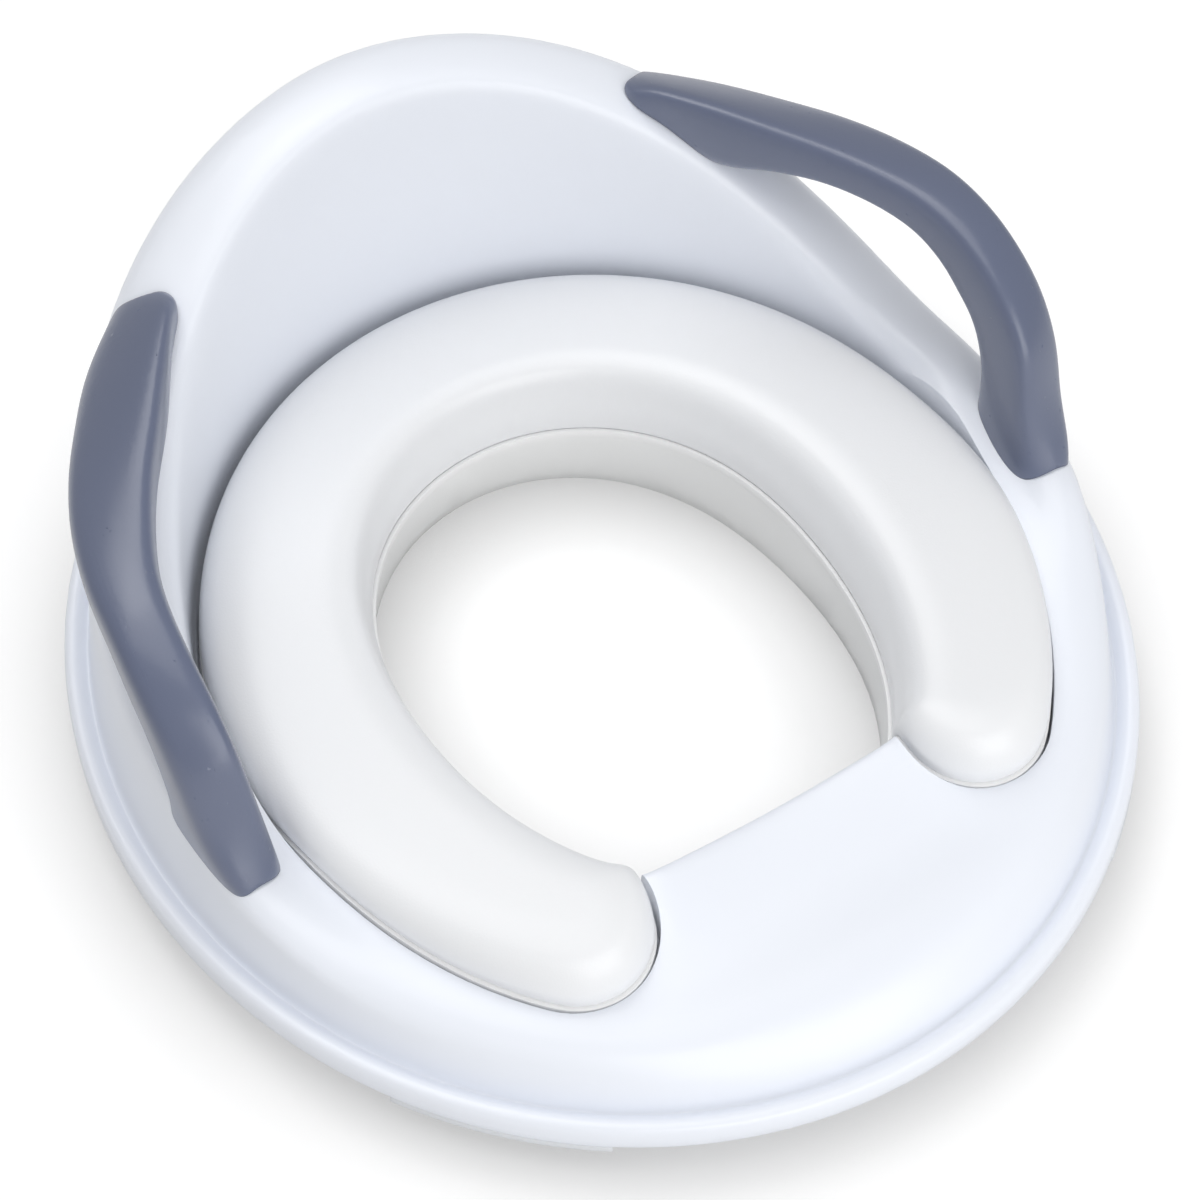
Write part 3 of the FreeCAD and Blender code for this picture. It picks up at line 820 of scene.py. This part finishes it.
@dataclass(frozen=True)
class Studio:
    """White floor, soft lamps and the photo's camera."""

    azimuth: float = -32.097
    elevation: float = 54.5495
    distance: float = 0.949595
    target: tuple[float, float, float] = (0.0089, 0.0130, 0.016)
    lens: float = 87.0
    sensor: float = 36.0
    view_range: tuple[float, float] = (0.05, 20.0)
    floor_size: float = 6.0
    floor_tone: float = 0.9
    paper_tone: float = 0.98
    world: float = 0.41
    floor_lift: float = 0.36
    floor_glow: float = 1.3
    shadow_reach: float = 0.04
    shadow_range: tuple[float, float] = (0.3, 0.8)
    shadow_tone: float = 0.45
    lamp_target: tuple[float, float, float] = (0.0, 0.0, 0.05)
    lamps: tuple[Lamp, ...] = (
        Lamp("key", (0.05, 0.72, 1.35), 0.9, 5.6),
        Lamp("overhead", (-0.1, 0.1, 1.6), 1.2, 6.3),
        Lamp("front", (0.0, -1.3, 0.6), 1.2, 9.8),
    )

    def camera(self) -> None:
        """Places the camera at the photo's angle."""
        a, e = math.radians(self.azimuth), math.radians(self.elevation)
        back = Vector((math.sin(a) * math.cos(e), -math.cos(a) * math.cos(e), math.sin(e)))
        right = Vector((math.cos(a), math.sin(a), 0.0))
        turn = Matrix((right, back.cross(right), back)).transposed().to_4x4()
        turn.translation = Vector(self.target) + back * self.distance
        data = bpy.data.cameras.new("camera")
        data.sensor_width = self.sensor
        data.lens = self.lens
        data.clip_start, data.clip_end = self.view_range
        obj = bpy.data.objects.new("camera", data)
        obj.matrix_world = turn
        bpy.context.scene.collection.objects.link(obj)
        bpy.context.scene.camera = obj

    def floor(self) -> bpy.types.Object:
        """Large white floor that the camera sees lighter than it lights the seat.

        Returns:
            The floor, darker close to the seat where little light reaches it.
        """
        mesh = bmesh.new()
        bmesh.ops.create_grid(mesh, x_segments=2, y_segments=2, size=self.floor_size)
        obj = MeshBuilder.finish("floor", mesh)
        material = bpy.data.materials.new("floor_paper")
        material.use_nodes = True
        material.node_tree.nodes.clear()
        tree = Tree(material.node_tree)
        camera = tree.node("ShaderNodeLightPath", "Is Camera Ray")
        open_air = tree.node("ShaderNodeAmbientOcclusion", "AO", {"Distance": self.shadow_reach}, samples=2)
        low, high = self.shadow_range
        shade_inputs = {0: open_air, 1: low, 2: high, 3: self.shadow_tone, 4: 1.0}
        shade = tree.node("ShaderNodeMapRange", 0, shade_inputs)
        paper = tree.blend(camera, (*[self.floor_tone] * 3, 1.0), (*[self.paper_tone] * 3, 1.0))
        paper = tree.node("ShaderNodeVectorMath", 0, {0: paper, "Scale": shade}, operation="SCALE")
        diffuse = tree.node("ShaderNodeBsdfDiffuse", 0, {"Color": paper})
        glow_inputs = {"Color": (1.0, 1.0, 1.0, 1.0), "Strength": self.floor_glow}
        glow = tree.node("ShaderNodeEmission", 0, glow_inputs)
        both = tree.node("ShaderNodeMixShader", 0, {0: camera * shade * self.floor_lift, 1: diffuse, 2: glow})
        tree.make("ShaderNodeOutputMaterial", {0: both})
        obj.data.materials.append(material)
        return obj

    def build(self) -> None:
        """Sets up everything around the seat."""
        scene = bpy.context.scene
        scene.view_settings.view_transform = "Standard"
        world = bpy.data.worlds.new("studio")
        world.use_nodes = True
        shade = world.node_tree.nodes["Background"]
        shade.inputs["Color"].default_value = (1.0, 1.0, 1.0, 1.0)
        shade.inputs["Strength"].default_value = self.world
        scene.world = world
        for lamp in self.lamps:
            lamp.build(Vector(self.lamp_target))
        self.camera()
        self.floor()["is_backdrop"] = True


# Assembly
@dataclass(frozen=True)
class MouldedPiece:
    """A piece shown as a copy of its CAD node with rounded edges."""

    node: str
    slot: Slot
    width: float
    sharp: float = 38.0

    def build(self, nodes: dict[str, bpy.types.Object]) -> bpy.types.Object:
        """Copy of the node with its edges rounded by `width` where they turn by more than `sharp`."""
        return MeshBuilder.rounded(f"{self.node}_moulded", nodes[self.node], self.width, self.sharp)


@dataclass(frozen=True)
class Handle(MouldedPiece):
    """An arm handle with fuller faces than its CAD node; side is -1 for the left and 1 for the right."""

    slot: Slot = Slot.HANDLE
    width: float = 0.0
    side: float = 1.0

    def build(self, nodes: dict[str, bpy.types.Object]) -> bpy.types.Object:
        """Makes the handle's mesh.

        Args:
            nodes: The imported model's nodes by name.

        Returns:
            The linked object.
        """
        obj = super().build(nodes)
        HandleForm(side=self.side).soften(obj)
        obj.data.shade_smooth()
        obj.data.set_sharp_from_angle(angle=CREASE_ANGLE)
        return obj


MOULDED_PIECES: tuple[MouldedPiece, ...] = (
    MouldedPiece("shell", Slot.SHELL, 0.0007),
    MouldedPiece("cushion_tray", Slot.TRAY, 0.0003),
    Handle("left_handle", side=-1.0),
    Handle("right_handle", side=1.0),
    MouldedPiece("front_left_strip", Slot.STRIP, 0.0006),
    MouldedPiece("front_right_strip", Slot.STRIP, 0.0006),
    MouldedPiece("rear_left_strip", Slot.STRIP, 0.0006),
    MouldedPiece("rear_right_strip", Slot.STRIP, 0.0006),
    MouldedPiece("handle_screws", Slot.SCREW, 0.0003),
)


class PottySeat:
    """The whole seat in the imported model's frame."""

    def __init__(self, frame: dict) -> None:
        """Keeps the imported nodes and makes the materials."""
        self.nodes: dict[str, bpy.types.Object] = frame["nodes"]
        self.materials = {slot: FINISHES[slot].build(slot.value) for slot in Slot}

    def place(self, obj: bpy.types.Object, node: str, slot: Slot) -> bpy.types.Object:
        """Gives a piece its material and its place in the frame.

        Args:
            obj: The piece.
            node: CAD node that it stands for.
            slot: Material slot that it takes its finish from.

        Returns:
            The same piece.
        """
        obj.data.materials.clear()
        obj.data.materials.append(self.materials[slot])
        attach(obj, "root")
        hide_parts(node)
        LOG.info("%s: %d faces", obj.name, len(obj.data.polygons))
        return obj

    def build(self) -> None:
        """Makes every visible piece."""
        for piece in MOULDED_PIECES:
            self.place(piece.build(self.nodes), piece.node, piece.slot)
        cushion = self.place(Cushion().build(), "cushion", Slot.CUSHION)


def record_bounds(name: str, sizes: dict) -> None:
    low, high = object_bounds()
    sizes[name] = [list(low), list(high)]


def main() -> None:
    """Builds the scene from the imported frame."""
    logging.basicConfig(level=logging.INFO)
    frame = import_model()
    sizes: dict[str, list[list[float]]] = {}
    record_bounds("cad", sizes)
    PottySeat(frame).build()
    Studio().build()
    record_bounds("visual", sizes)


if __name__ == "__main__":
    main()
